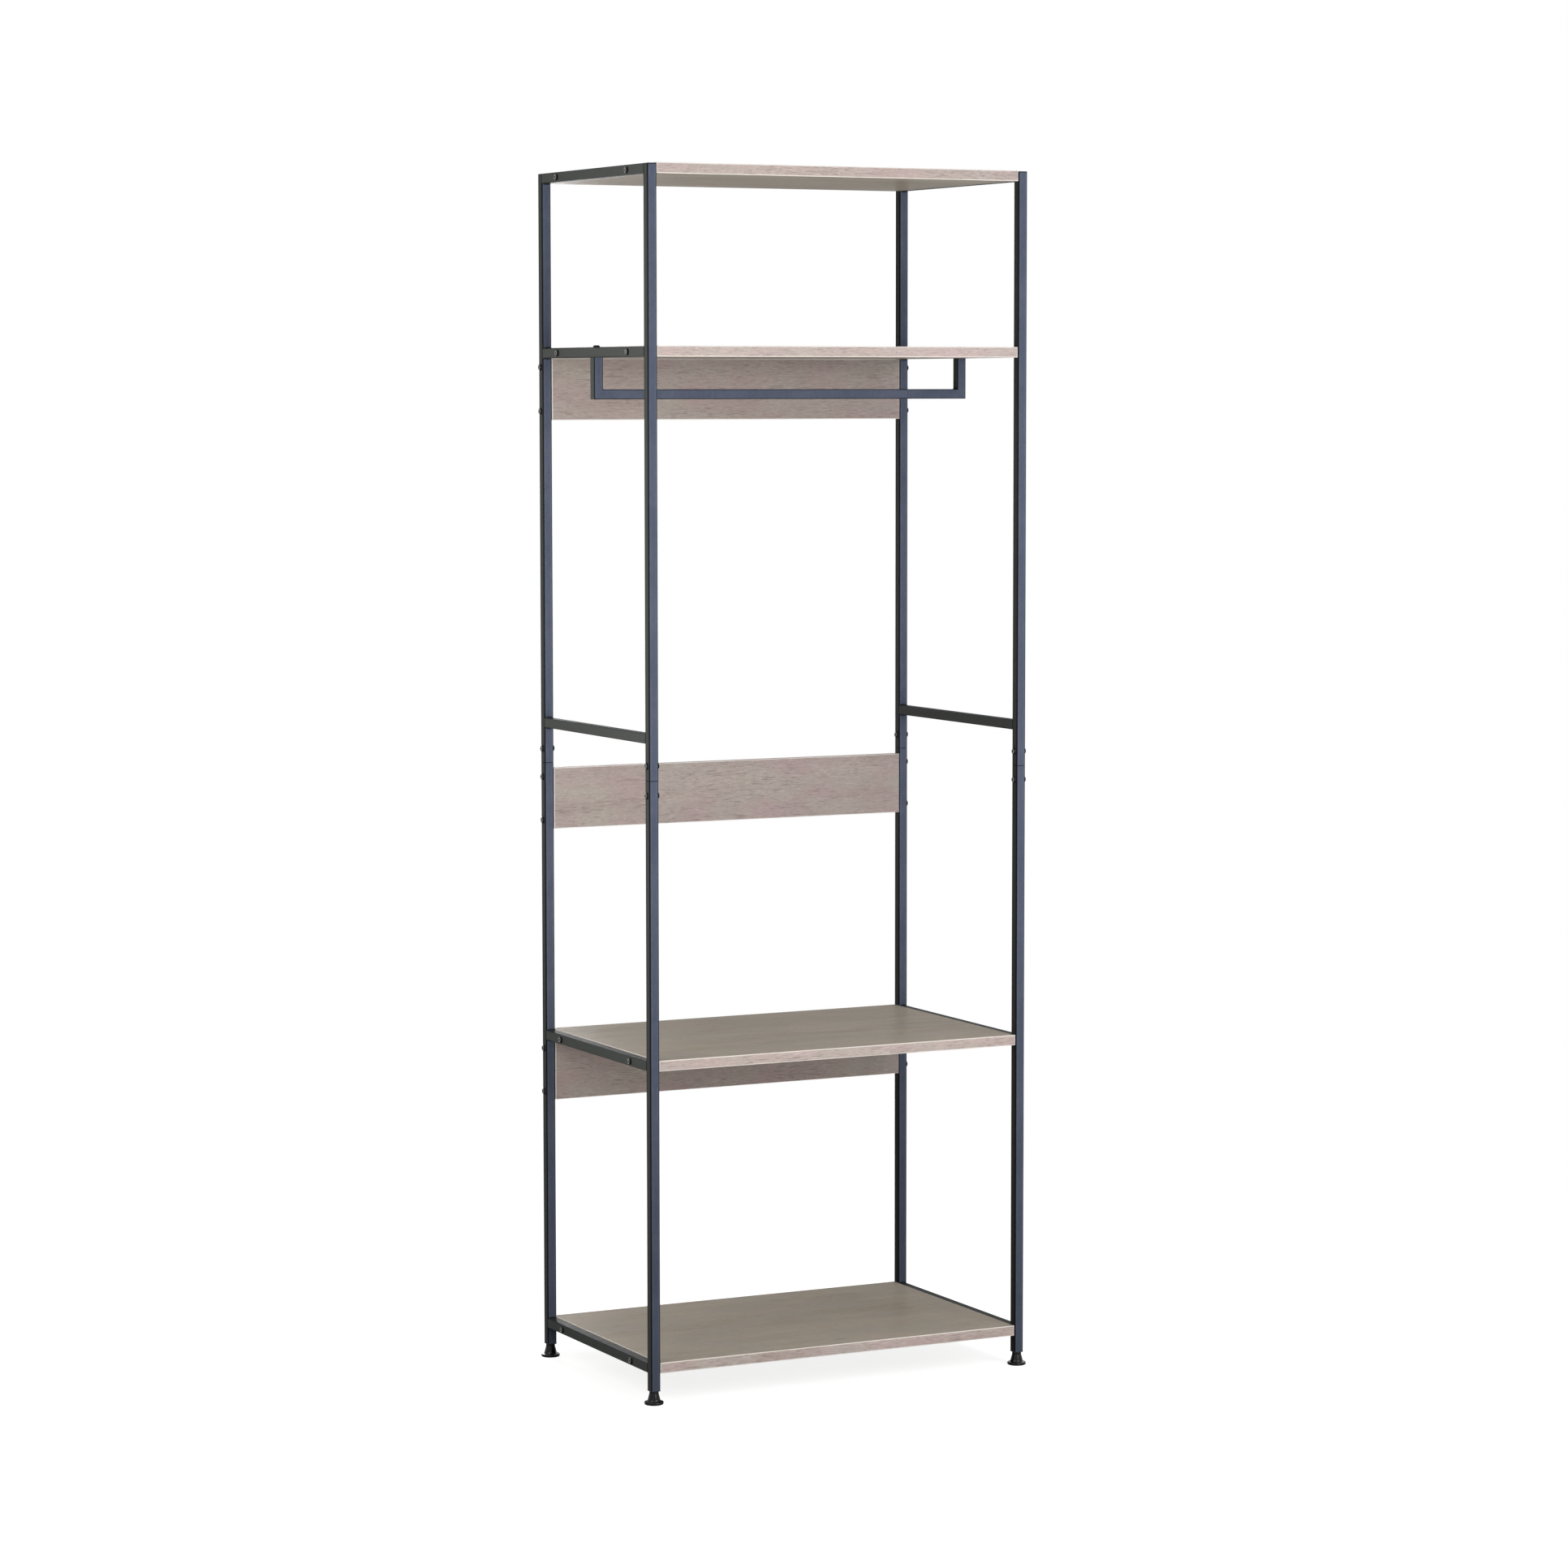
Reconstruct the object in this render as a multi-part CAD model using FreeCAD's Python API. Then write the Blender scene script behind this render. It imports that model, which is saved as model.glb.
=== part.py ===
import FreeCAD, Part
import math
import os

os.makedirs("parts", exist_ok=True)

Vector = FreeCAD.Vector
UP = Vector(0, 0, 1)

# Open clothes rack of square steel tube with four laminated shelves, three narrow back
# panels and a hanging bar. The origin is on the floor below the middle of the rack,
# with X across the front, Y towards the back and Z up. All sizes are in millimetres.

# Overall sizes
width = 640.0
depth = 400.0
height = 1850.0

# Top faces of the shelves: the upper one below the top of the rack, the others above the floor
upper_shelf_drop = 268.0
lower_shelf_height = 520.0
bottom_shelf_height = 63.0

# Square tube of the side frames and the hanging bar
tube_side = 15.0
tube_wall = 1.0
tube_corner = 1.5

# Laminated boards of the shelves and back panels, with their glued edging
board_thickness = 16.0
board_end_gap = 0.3
shelf_setback = 1.0
edging_thickness = 1.0
panel_height = 95.0
panel_hang_gap = 0.3

# Hanging bar, measured down from the underside of the upper shelf
bar_drop = 63.0

# Joint between the upper and the lower frames, and the top face of the plain rail above it
seam_height = 939.0
seam_gap = 1.0
middle_rail_rise = 70.0
collar_recess = 0.5
splice_wall = 2.0
splice_clearance = 0.2
splice_screw_offset = 22.0
splice_end_margin = 18.0

# Button head screws, all of one diameter
screw_diameter = 6.0
screw_hole_slack = 0.5
thread_fit = 0.05
head_diameter = 10.5
head_height = 3.3
head_crown_diameter = 6.4
splice_screw_tip = 2.8
shelf_screw_spacing = 256.0
panel_screw_spacing = 68.0

# Threaded inserts in the ends of the boards, and the nuts in the legs of the bar
insert_diameter = 10.0
insert_length = 13.0
insert_fit = 0.05
screw_grip = 14.7
bore_end_room = 2.0
bar_nut_length = 16.0
bar_nut_fit = 0.1

# Levelling feet
foot_height = 20.0
foot_rim_diameter = 29.0
foot_rim_height = 4.6
foot_rim_bevel = 1.5
foot_cone_diameter = 21.5
foot_cone_base = 6.4
foot_neck_diameter = 13.4
stud_diameter = 6.0
stud_fit = 0.05
stud_seat = 12.0
stud_end_room = 0.3
stud_rise = 24.0

# Ribbed plastic plugs in the bottom ends of the posts
plug_flange = 1.5
plug_chamfer = 0.6
plug_length = 26.0
plug_core_side = 10.6
plug_fin_thickness = 1.4
plug_fin_count = 3
plug_fit = 0.1

# Flat sides that stand for the small rounds that repeat many times
shank_sides = 6
head_sides = 8
stud_sides = 12
foot_sides = 24

# Length by which every cutting body runs past what it cuts
overrun = 2.0

# Places that follow from the sizes above
tube_bore = tube_side - 2 * tube_wall
frame_x = (width - tube_side) / 2
post_y = (depth - tube_side) / 2
inside_width = width - 2 * tube_side
board_length = inside_width - 2 * board_end_gap
shelf_depth = depth - 2 * shelf_setback
post_bottom = foot_height + plug_flange
hole_radius = (screw_diameter + screw_hole_slack) / 2
thread_radius = screw_diameter / 2 + thread_fit
long_screw = tube_side + board_end_gap + screw_grip
splice_screw = tube_wall + splice_clearance + splice_wall + splice_screw_tip

SIDES = {"left": -1, "right": 1}
ENDS = {"front": -1, "back": 1}

shelf_tops = {
    "top_shelf": height,
    "upper_shelf": height - upper_shelf_drop,
    "lower_shelf": lower_shelf_height,
    "bottom_shelf": bottom_shelf_height,
}
shelf_undersides = {name: top - board_thickness for name, top in shelf_tops.items()}
rail_centres = {
    "top_rail": shelf_undersides["top_shelf"] + tube_side / 2,
    "upper_shelf_rail": shelf_undersides["upper_shelf"] + tube_side / 2,
    "middle_rail": seam_height + middle_rail_rise - tube_side / 2,
    "lower_shelf_rail": shelf_undersides["lower_shelf"] + tube_side / 2,
    "bottom_shelf_rail": shelf_undersides["bottom_shelf"] + tube_side / 2,
}
hung_panel_drop = panel_hang_gap + panel_height / 2
panel_centres = {
    "upper_back_panel": shelf_undersides["upper_shelf"] - hung_panel_drop,
    "middle_back_panel": seam_height - splice_screw_offset - panel_screw_spacing / 2,
    "lower_back_panel": shelf_undersides["lower_shelf"] - hung_panel_drop,
}
bar_centre = shelf_undersides["upper_shelf"] - bar_drop + tube_side / 2


def save(name, *solids):
    """Write one node, as a single solid or as a group of separate ones."""
    shape = solids[0] if len(solids) == 1 else Part.makeCompound(list(solids))
    shape.exportStep("parts/" + name + ".step")


def placed(shape, point, direction=UP):
    """Copy of a shape drawn along +Z from the origin, moved to a point and turned."""
    copy = shape.copy()
    copy.Placement = FreeCAD.Placement(point, FreeCAD.Rotation(UP, direction))
    return copy


def square_bar(side, length):
    """Square bar along +Z, centred on the axis."""
    return Part.makeBox(side, side, length, Vector(-side / 2, -side / 2, 0))


def upright_edges(shape):
    """Edges of a shape that run along Z."""
    return [edge for edge in shape.Edges if round(abs(edge.tangentAt(0).z)) == 1]


def frame_tube(start, direction, length):
    """Square tube with rounded outer corners, from a point on its centre line."""
    outside = square_bar(tube_side, length)
    outside = outside.makeFillet(tube_corner, upright_edges(outside))
    return placed(outside.cut(square_bar(tube_bore, length)), start, direction)


def turned(outline, sides):
    """Solid turned about the axis, drawn with flat sides, from radii and rising heights."""
    turns = [2 * math.pi * number / sides for number in range(sides)] + [0]
    rings = []
    for radius, level in outline:
        rings.append([Vector(radius * math.cos(turn), radius * math.sin(turn), level) for turn in turns])
    faces = [Part.Face(Part.makePolygon(rings[0])), Part.Face(Part.makePolygon(rings[-1]))]
    for low, high in zip(rings, rings[1:]):
        for number in range(sides):
            corners = [low[number], low[number + 1], high[number + 1], high[number], low[number]]
            faces.append(Part.Face(Part.makePolygon(corners)))
    return Part.makeSolid(Part.makeShell(faces))


def round_bar(radius, sides, length):
    """Round bar along +Z, drawn with a few flat sides."""
    return turned([(radius, 0), (radius, length)], sides)


def beyond(point, normal):
    """Block that fills the side of a plane towards which its normal points."""
    reach = 2 * tube_side + overrun
    return placed(square_bar(reach, reach), point, normal)


def drill(point, direction, radius, length):
    """Drilled hole along a direction, run past the surface that it starts on."""
    return placed(round_bar(radius, shank_sides, length + overrun), point - direction * overrun, direction)


def across(side):
    """Direction that points from the outside of a side frame into the rack."""
    return Vector(-SIDES[side], 0, 0)


def outer_seat(side, y, z):
    """Point on the outer face of a side frame."""
    return Vector(SIDES[side] * width / 2, y, z)


def shelf_screw_seats(side, shelf):
    """Seats of the two screws that hold one end of a shelf."""
    z = shelf_undersides[shelf] + tube_side / 2
    return [outer_seat(side, end * shelf_screw_spacing / 2, z) for end in ENDS.values()]


def panel_screw_seats(side, panel):
    """Seats of the two screws that hold one end of a back panel."""
    rise = panel_screw_spacing / 2
    return [outer_seat(side, post_y, panel_centres[panel] + step * rise) for step in (-1, 1)]


def board_screw_seats(side):
    """Seats of the long screws on one side, for the shelves and for the panels."""
    shelf_seats = [seat for shelf in shelf_tops for seat in shelf_screw_seats(side, shelf)]
    panel_seats = [seat for panel in panel_centres for seat in panel_screw_seats(side, panel)]
    return {"shelf": shelf_seats, "panel": panel_seats}


def splice_levels():
    """Heights of the screws below and above the joint in a post."""
    return [seam_height - splice_screw_offset, seam_height + splice_screw_offset]


def post_hole_levels(side, end):
    """Heights of the holes through one post, where a panel's screw may hold the splice too."""
    below, above = splice_levels()
    if end == "back":
        return [above] + [seat.z for seat in board_screw_seats(side)["panel"]]
    return [below, above]


def bolt_seat(side):
    """Seat of the bolt that holds one leg of the hanging bar."""
    return Vector(SIDES[side] * frame_x, 0, shelf_undersides["upper_shelf"] + tube_side)


def make_posts():
    """Uprights: the upper one is mitred to the top rail, the lower one takes a foot."""
    top_corner = rail_centres["top_rail"]
    for end, end_sign in ENDS.items():
        for side, side_sign in SIDES.items():
            x = side_sign * frame_x
            y = end_sign * post_y
            holes = [
                drill(outer_seat(side, y, z), across(side), hole_radius, tube_side + overrun)
                for z in post_hole_levels(side, end)
            ]
            upper_foot = seam_height + seam_gap / 2
            upper_length = top_corner + tube_side / 2 - upper_foot
            upper = frame_tube(Vector(x, y, upper_foot), UP, upper_length)
            upper = upper.cut(beyond(Vector(x, y, top_corner), Vector(0, -end_sign, 1)))
            lower_length = seam_height - seam_gap / 2 - post_bottom
            lower = frame_tube(Vector(x, y, post_bottom), UP, lower_length)
            save(end + "_" + side + "_upper_post", upper.cut(holes))
            save(end + "_" + side + "_lower_post", lower.cut(holes))


def make_rails():
    """Level tubes that join the posts of each side and carry the ends of the shelves."""
    shelf_of_rail = {
        "top_rail": "top_shelf",
        "upper_shelf_rail": "upper_shelf",
        "lower_shelf_rail": "lower_shelf",
        "bottom_shelf_rail": "bottom_shelf",
    }
    for side, side_sign in SIDES.items():
        for name, z in rail_centres.items():
            half = depth / 2 if name == "top_rail" else depth / 2 - tube_side
            start = Vector(side_sign * frame_x, -half, z)
            rail = frame_tube(start, Vector(0, 1, 0), 2 * half)
            if name == "top_rail":
                for end_sign in ENDS.values():
                    corner = Vector(side_sign * frame_x, end_sign * post_y, z)
                    rail = rail.cut(beyond(corner, Vector(0, end_sign, -1)))
            if name in shelf_of_rail:
                for seat in shelf_screw_seats(side, shelf_of_rail[name]):
                    rail = rail.cut(drill(seat, across(side), hole_radius, tube_side + overrun))
            if name == "upper_shelf_rail":
                rail = rail.cut(drill(bolt_seat(side), -UP, hole_radius, tube_side + overrun))
            save(side + "_" + name, rail)


def make_splices():
    """Square connectors inside the two halves of a post, with a thin collar between the halves."""
    outer = tube_bore - 2 * splice_clearance
    half = splice_screw_offset + splice_end_margin
    collar = square_bar(tube_side - 2 * collar_recess, seam_gap)
    tube = square_bar(outer, 2 * half).fuse(collar.translated(UP * (half - seam_gap / 2)))
    tube = tube.cut(square_bar(outer - 2 * splice_wall, 2 * half))
    for end, end_sign in ENDS.items():
        for side, side_sign in SIDES.items():
            foot = Vector(side_sign * frame_x, end_sign * post_y, seam_height - half)
            connector = placed(tube, foot)
            for z in splice_levels():
                carries_panel = end == "back" and z < seam_height
                radius = hole_radius if carries_panel else thread_radius
                seat = outer_seat(side, end_sign * post_y, z)
                connector = connector.cut(drill(seat, across(side), radius, tube_side + overrun))
            save(end + "_" + side + "_splice", connector)


def centred_block(length, breadth):
    """Block of the boards' thickness, centred on the origin."""
    corner = Vector(-length / 2, -breadth / 2, -board_thickness / 2)
    return Part.makeBox(length, breadth, board_thickness, corner)


def make_board(name, breadth, place, seats):
    """One board, bored for an insert at each seat, and the four strips of its edging."""
    core_breadth = breadth - 2 * edging_thickness
    core = centred_block(board_length - 2 * edging_thickness, core_breadth)
    long_strip = centred_block(board_length, edging_thickness)
    end_strip = centred_block(edging_thickness, core_breadth)
    strips = []
    for step in (-1, 1):
        strips.append(long_strip.translated(Vector(0, step * (breadth - edging_thickness) / 2, 0)))
        strips.append(end_strip.translated(Vector(step * (board_length - edging_thickness) / 2, 0, 0)))
    bores = []
    for side, seat in seats:
        mouth = seat + across(side) * (tube_side + board_end_gap)
        bores.append(drill(mouth, across(side), insert_diameter / 2 + insert_fit, screw_grip + bore_end_room))
    save(name, core.transformed(place.toMatrix()).cut(bores))
    save(name + "_edging", *[strip.transformed(place.toMatrix()).cut(bores) for strip in strips])


def make_boards():
    """Shelves between the side frames, and back panels between the back posts."""
    level = FreeCAD.Rotation()
    on_edge = FreeCAD.Rotation(Vector(0, 1, 0), UP)
    for name, underside in shelf_undersides.items():
        place = FreeCAD.Placement(Vector(0, 0, underside + board_thickness / 2), level)
        seats = [(side, seat) for side in SIDES for seat in shelf_screw_seats(side, name)]
        make_board(name, shelf_depth, place, seats)
    for name, centre in panel_centres.items():
        place = FreeCAD.Placement(Vector(0, post_y, centre), on_edge)
        seats = [(side, seat) for side in SIDES for seat in panel_screw_seats(side, name)]
        make_board(name, panel_height, place, seats)


def make_hanging_bar():
    """Level tube with a mitred leg at each end, each leg closed by a welded nut."""
    bar = frame_tube(Vector(-width / 2, 0, bar_centre), Vector(1, 0, 0), width)
    leg_top = shelf_undersides["upper_shelf"]
    leg_foot = bar_centre - tube_side / 2
    nuts = []
    for side, sign in SIDES.items():
        corner = Vector(sign * frame_x, 0, bar_centre)
        bar = bar.cut(beyond(corner, Vector(sign, 0, 1)))
        leg = frame_tube(Vector(sign * frame_x, 0, leg_foot), UP, leg_top - leg_foot)
        save("hanging_bar_" + side + "_leg", leg.cut(beyond(corner, Vector(-sign, 0, -1))))
        nut = square_bar(tube_bore - 2 * bar_nut_fit, bar_nut_length)
        nut = placed(nut, Vector(sign * frame_x, 0, leg_top - bar_nut_length))
        thread = drill(bolt_seat(side), -UP, thread_radius, tube_side + bar_nut_length + overrun)
        nuts.append(nut.cut(thread))
    save("hanging_bar", bar)
    save("hanging_bar_nuts", *nuts)


def button_screw(length):
    """Screw with its seat at the origin, its shank along +Z and its head below."""
    head = turned([(head_crown_diameter / 2, -head_height), (head_diameter / 2, 0)], head_sides)
    return head.fuse(round_bar(screw_diameter / 2, shank_sides, length))


def make_screws():
    """All the button head screws, one group for each length and use."""
    long_one = button_screw(long_screw)
    short_one = button_screw(splice_screw)
    bolt = button_screw(tube_side + bar_nut_length - bore_end_room)
    groups = {"shelf_screws": [], "panel_screws": [], "splice_screws": [], "hanging_bar_bolts": []}
    for side in SIDES:
        inward = across(side)
        for use, seats in board_screw_seats(side).items():
            groups[use + "_screws"] += [placed(long_one, seat, inward) for seat in seats]
        for end, end_sign in ENDS.items():
            levels = splice_levels() if end == "front" else splice_levels()[1:]
            for z in levels:
                seat = outer_seat(side, end_sign * post_y, z)
                groups["splice_screws"].append(placed(short_one, seat, inward))
                groups["splice_screws"].append(placed(short_one, seat + inward * tube_side, -inward))
        groups["hanging_bar_bolts"].append(placed(bolt, bolt_seat(side), -UP))
    for name, screws in groups.items():
        save(name, *screws)


def make_inserts():
    """Threaded steel sleeves let into the ends of the boards, one for each long screw."""
    sleeve = round_bar(insert_diameter / 2, shank_sides, insert_length)
    sleeve = sleeve.cut(round_bar(thread_radius, shank_sides, insert_length))
    for use in ("shelf", "panel"):
        sleeves = []
        for side in SIDES:
            inward = across(side)
            to_board = inward * (tube_side + board_end_gap)
            sleeves += [placed(sleeve, seat + to_board, inward) for seat in board_screw_seats(side)[use]]
        save(use + "_inserts", *sleeves)


def stud_hole(length):
    """Bore along +Z whose flat sides clear the stud at any turn."""
    corner_radius = (stud_diameter / 2 + stud_fit) / math.cos(math.pi / stud_sides)
    return round_bar(corner_radius, stud_sides, length)


def foot_plug():
    """Ribbed plug with a flange that closes the tube and a bore for the stud."""
    flange = square_bar(tube_side, plug_flange)
    floor_edges = [edge for edge in flange.Edges if edge.CenterOfMass.z == 0]
    plug = flange.makeChamfer(plug_chamfer, floor_edges + upright_edges(flange))
    fin = square_bar(tube_bore - 2 * plug_fit, plug_fin_thickness)
    fin_pitch = (plug_length - plug_fin_thickness) / (plug_fin_count - 1)
    core = square_bar(plug_core_side, plug_length)
    core = core.fuse([fin.translated(UP * fin_pitch * number) for number in range(plug_fin_count)])
    plug = plug.fuse(core.translated(UP * plug_flange)).removeSplitter()
    return plug.cut(stud_hole(plug_flange + plug_length))


def foot_pad():
    """Flared round glide with a rounded rim and a blind socket for the stud."""
    rim = foot_rim_diameter / 2
    outline = [
        (rim - foot_rim_bevel, 0),
        (rim, foot_rim_bevel),
        (rim, foot_rim_height - foot_rim_bevel),
        (rim - foot_rim_bevel, foot_rim_height),
        (foot_cone_diameter / 2, foot_cone_base),
        (foot_neck_diameter / 2, foot_height),
    ]
    socket_depth = stud_seat + stud_end_room
    socket = placed(stud_hole(socket_depth), UP * (foot_height - socket_depth))
    return turned(outline, foot_sides).cut(socket)


def make_feet():
    """A plug, a stud and a round pad at the bottom of each post."""
    plug = foot_plug()
    stud = round_bar(stud_diameter / 2, stud_sides, stud_seat + stud_rise)
    pad = foot_pad()
    for end, end_sign in ENDS.items():
        for side, side_sign in SIDES.items():
            name = end + "_" + side + "_foot_"
            axis = Vector(side_sign * frame_x, end_sign * post_y, 0)
            save(name + "plug", placed(plug, axis + UP * foot_height))
            save(name + "stud", placed(stud, axis + UP * (foot_height - stud_seat)))
            save(name + "pad", placed(pad, axis))


make_posts()
make_rails()
make_splices()
make_boards()
make_hanging_bar()
make_screws()
make_inserts()
make_feet()
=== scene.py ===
import bmesh
import bpy
import math
from mathutils import Matrix, Vector


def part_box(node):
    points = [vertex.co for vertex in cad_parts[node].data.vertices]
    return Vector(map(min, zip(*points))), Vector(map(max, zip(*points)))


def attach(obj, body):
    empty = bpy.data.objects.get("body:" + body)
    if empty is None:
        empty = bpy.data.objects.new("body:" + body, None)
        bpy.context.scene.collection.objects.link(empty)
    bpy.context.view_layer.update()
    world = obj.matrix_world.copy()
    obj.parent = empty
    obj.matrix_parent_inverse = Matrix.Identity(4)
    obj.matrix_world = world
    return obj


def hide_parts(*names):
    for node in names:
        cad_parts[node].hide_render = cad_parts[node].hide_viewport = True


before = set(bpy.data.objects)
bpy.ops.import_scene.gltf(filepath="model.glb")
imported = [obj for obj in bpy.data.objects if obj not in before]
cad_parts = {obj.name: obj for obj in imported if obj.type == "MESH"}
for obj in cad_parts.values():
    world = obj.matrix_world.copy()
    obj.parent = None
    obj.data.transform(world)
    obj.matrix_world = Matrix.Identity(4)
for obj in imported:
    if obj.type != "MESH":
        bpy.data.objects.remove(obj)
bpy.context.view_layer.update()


# Side frames: two ladders of 15 mm square steel tube, each in an upper and a lower half. The
# rails are welded between the posts with small fillets, and the whole is powder coated in a
# dark slate. Painted light and shade make it bluer on the front and the back faces than on the
# sides, and darker on the tops and undersides.

MM = 0.001
SIDES = {"left": -1, "right": 1}
ENDS = {"front": -1, "back": 1}
TUBE = 15.0 * MM
TUBE_CORNER = 1.5 * MM


def add(tree, kind, inputs, **settings):
    """New node of a tree, with its settings, and its inputs set to values or linked to sockets."""
    made = tree.nodes.new("ShaderNode" + kind)
    for name, value in settings.items():
        setattr(made, name, value)
    for key, value in inputs.items():
        if isinstance(value, bpy.types.NodeSocket):
            tree.links.new(value, made.inputs[key])
        else:
            made.inputs[key].default_value = value
    return made


def calc(tree, operation, *values, clamp=False):
    """Result of a sum on one to three values."""
    sum_node = add(tree, "Math", dict(enumerate(values)), operation=operation, use_clamp=clamp)
    return sum_node.outputs[0]


def product(tree, first, *others):
    """Values multiplied together, which for masks is where all of them hold."""
    for other in others:
        first = calc(tree, "MULTIPLY", first, other)
    return first


def sized(tree, value):
    """Value without its sign."""
    return calc(tree, "ABSOLUTE", value)


def spread(tree, value, low, high, to_low=0.0, to_high=1.0):
    """Value moved from one range to another, and kept inside it."""
    inputs = {"Value": value, "From Min": low, "From Max": high}
    return add(tree, "MapRange", {**inputs, "To Min": to_low, "To Max": to_high}).outputs[0]


def either(tree, choice, first, second):
    """Value between two values."""
    return add(tree, "Mix", {0: choice, 2: first, 3: second}, data_type="FLOAT").outputs[0]


def mixed(tree, amount, first, second, blend="MIX"):
    """Colour between two colours."""
    inputs = {0: amount, 6: first, 7: second}
    return add(tree, "Mix", inputs, data_type="RGBA", blend_type=blend).outputs[2]


def shaded(tree, colour, strength):
    """Colour made darker below a strength of 1, and lighter above it."""
    grey = add(tree, "CombineColor", {0: strength, 1: strength, 2: strength}).outputs[0]
    return mixed(tree, 1.0, colour, grey, "MULTIPLY")


def stretched(tree, place, scales):
    """Place in space with each axis scaled, so that noise on it runs in streaks."""
    return add(tree, "VectorMath", {0: place, 1: scales}, operation="MULTIPLY").outputs[0]


def parts_of(tree, vector):
    """The three parts of a place or a direction."""
    return add(tree, "SeparateXYZ", {0: vector}).outputs


def noise(tree, place, scale=1.0, detail=2.0, roughness=0.5):
    """Noise between 0 and 1 at a place."""
    inputs = {"Vector": place, "Scale": scale, "Detail": detail, "Roughness": roughness}
    return add(tree, "TexNoise", inputs).outputs[0]


def new_effect(name, inputs, outputs):
    """Shader node group with its inputs and outputs: the tree, what comes in and what goes out."""
    tree = bpy.data.node_groups.new(name, "ShaderNodeTree")
    for label, (kind, value) in inputs.items():
        socket = tree.interface.new_socket(label, in_out="INPUT", socket_type="NodeSocket" + kind)
        if value is not None:
            socket.default_value = value
    for label, kind in outputs.items():
        tree.interface.new_socket(label, in_out="OUTPUT", socket_type="NodeSocket" + kind)
    given = tree.nodes.new("NodeGroupInput").outputs
    result = tree.nodes.new("NodeGroupOutput").inputs
    return tree, given, result


def effect(tree, group, inputs):
    """A node group placed in a material: its outputs."""
    return add(tree, "Group", inputs, node_tree=group).outputs


def new_finish(name, **constants):
    """Material with constants on its shader's own sockets: the material, its tree, its shader."""
    finish = bpy.data.materials.new(name)
    finish.use_nodes = True
    shader = finish.node_tree.nodes["Principled BSDF"]
    for socket, value in constants.items():
        shader.inputs[socket.replace("_", " ")].default_value = value
    return finish, finish.node_tree, shader


def complete(tree, shader, colour, roughness, height, depth):
    """Feeds a shader its colour, roughness and relief, the relief's full depth in metres."""
    tree.links.new(colour, shader.inputs["Base Color"])
    tree.links.new(roughness, shader.inputs["Roughness"])
    bump = add(tree, "Bump", {"Height": height, "Strength": 1.0, "Distance": depth})
    tree.links.new(bump.outputs[0], shader.inputs["Normal"])


def local_place(tree):
    """Place on the piece itself, in metres."""
    return add(tree, "TexCoord", {}).outputs["Object"]


def local_facing(tree):
    """How far the surface faces along each axis of the piece, with its sign."""
    return parts_of(tree, add(tree, "TexCoord", {}).outputs["Normal"])


# Where a surface turns from one flat face to the next, on pieces squared to the axes.
rounded_arris, given, result = new_effect(
    "rounded_arris", {"Sharpness": ("Float", 1.0)}, {"Arris": "Float"})
facing = local_facing(rounded_arris)
steepest = sized(rounded_arris, facing[0])
for axis in (1, 2):
    steepest = calc(rounded_arris, "MAXIMUM", steepest, sized(rounded_arris, facing[axis]))
turn = spread(rounded_arris, steepest, 0.998, 0.90)
rounded_arris.links.new(calc(rounded_arris, "POWER", turn, given[0]), result[0])

# Faint marks of hands and cloths, a few centimetres across, with a finer mottle inside them.
wiped_marks, given, result = new_effect(
    "wiped_marks", {"Place": ("Vector", None), "Size": ("Float", 9.0)}, {"Marks": "Float"})
patches = noise(wiped_marks, given["Place"], given["Size"], 4.0, 0.62)
fine = noise(wiped_marks, stretched(wiped_marks, given["Place"], (210.0, 160.0, 90.0)), 1.0, 2.0)
both = calc(wiped_marks, "MULTIPLY_ADD", fine, 0.3, calc(wiped_marks, "MULTIPLY", patches, 0.7))
wiped_marks.links.new(spread(wiped_marks, both, 0.38, 0.62), result[0])

post_low, post_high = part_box("back_right_upper_post")
frame_x = (post_low.x + post_high.x) / 2
post_y = (post_low.y + post_high.y) / 2
bar_low, bar_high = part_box("hanging_bar")
SLATE = (0.076, 0.089, 0.128, 1.0)
SLATE_LIT = (0.094, 0.108, 0.152, 1.0)
# Painted shading by face direction: greyer sides, darker tops and undersides; the edge colour is
# painted shade.
SLATE_SIDE_SHADING = (0.102, 0.109, 0.105, 1.0)
SLATE_LEVEL_SHADE = (0.034, 0.036, 0.037, 1.0)
SLATE_EDGE_SHADE = (0.006, 0.006, 0.009, 1.0)
FACE_REACH = TUBE / 2 + 0.1 * MM
RIM = (5.2 * MM, 6.8 * MM)
STRIPE = (3.0 * MM, 4.8 * MM)
TOP_LINE = (2.4 * MM, 1.2 * MM)
powder_coat, tree, shader = new_finish("slate_powder_coat", Specular_IOR_Level=0.010)
place = local_place(tree)
x, y, z = parts_of(tree, place)
facing = local_facing(tree)
sideways, endways, level = [spread(tree, sized(tree, part), 0.5, 0.9) for part in facing]
marks = effect(tree, wiped_marks, {"Place": place, "Size": 14.0})["Marks"]
colour = mixed(tree, marks, SLATE, SLATE_LIT)
# Painted light and shade: the sides greyer and the tops and undersides darker than the fronts.
colour = mixed(tree, sideways, colour, SLATE_SIDE_SHADING)
colour = mixed(tree, level, colour, SLATE_LEVEL_SHADE)
speckle = spread(tree, noise(tree, place, 1900.0, 1.0), 0.35, 0.65, 0.90, 1.08)
colour = shaded(tree, colour, speckle)

# Painted shade darkens the arrises, but hardly where a rail's side meets its top.
off_frame = sized(tree, calc(tree, "SUBTRACT", sized(tree, x), frame_x))
in_frame = calc(tree, "LESS_THAN", off_frame, FACE_REACH)
slanting = [spread(tree, sized(tree, facing[axis]), 0.15, 0.45) for axis in (2, 0)]
level_arris = product(tree, *slanting, in_frame)
# Painted shade on the rounded corners of the tubes.
corner = effect(tree, rounded_arris, {"Sharpness": 0.8})["Arris"]
corner = product(tree, corner, calc(tree, "MULTIPLY_ADD", level_arris, -0.77, 0.92))
colour = mixed(tree, corner, colour, SLATE_EDGE_SHADE)
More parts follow.
